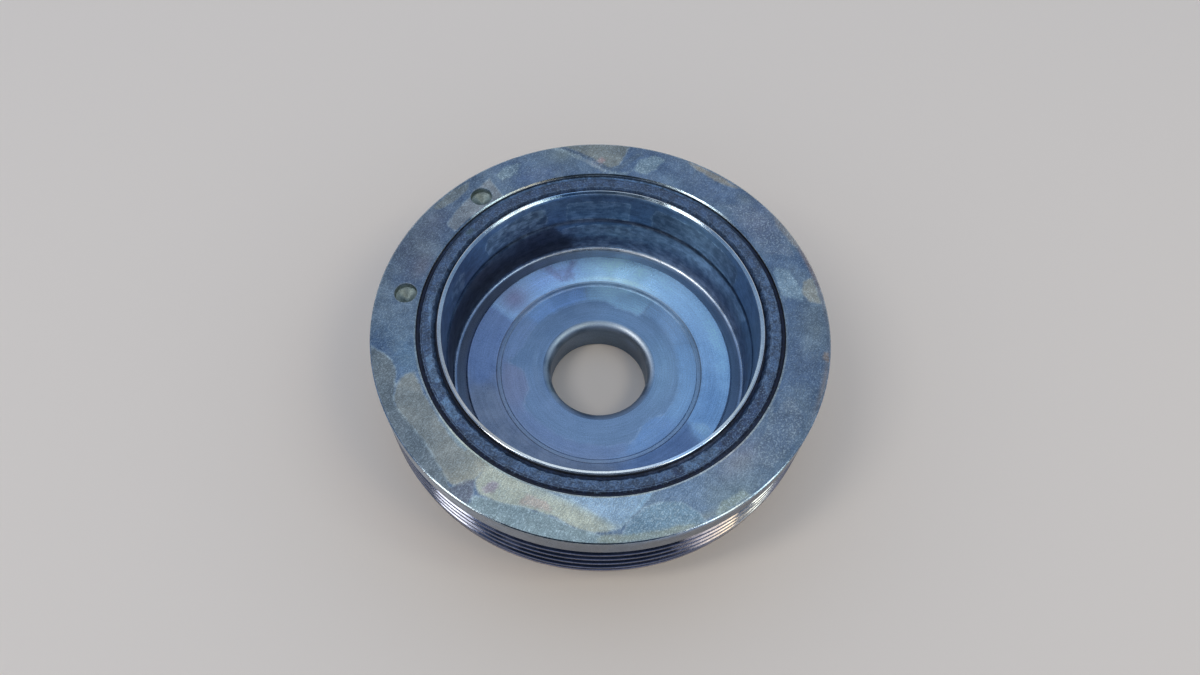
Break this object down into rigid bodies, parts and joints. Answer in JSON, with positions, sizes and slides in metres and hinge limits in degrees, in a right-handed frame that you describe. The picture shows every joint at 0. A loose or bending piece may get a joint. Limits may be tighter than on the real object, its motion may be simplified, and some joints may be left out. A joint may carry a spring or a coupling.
{
  "type": "crankshaft pulley",
  "caption": "Cup-shaped crankshaft damper pulley: a turned steel hub with a central bore, a rubber ring pressed round it and an outer ring with V grooves for a ribbed belt.",
  "frame": {"origin": "centre of the nose's end face, on the crank axis, where the pulley meets the crankshaft", "axes": "+Z along the crank axis, out of the open side of the hub cup; the balancing holes are on the -X side"},
  "size_m": [0.12, 0.12, 0.039],
  "materials": {
    "hub_steel": "turned steel with a blue heat tint",
    "damper_rubber": "matt black rubber under pale dust",
    "ring_iron": "machined iron with a blue-grey patina and olive stains"
  },
  "bodies": {
    "root": {"hub": "hub_steel", "damper_rubber": "damper_rubber", "pulley_ring": "ring_iron"}
  },
  "joints": []
}
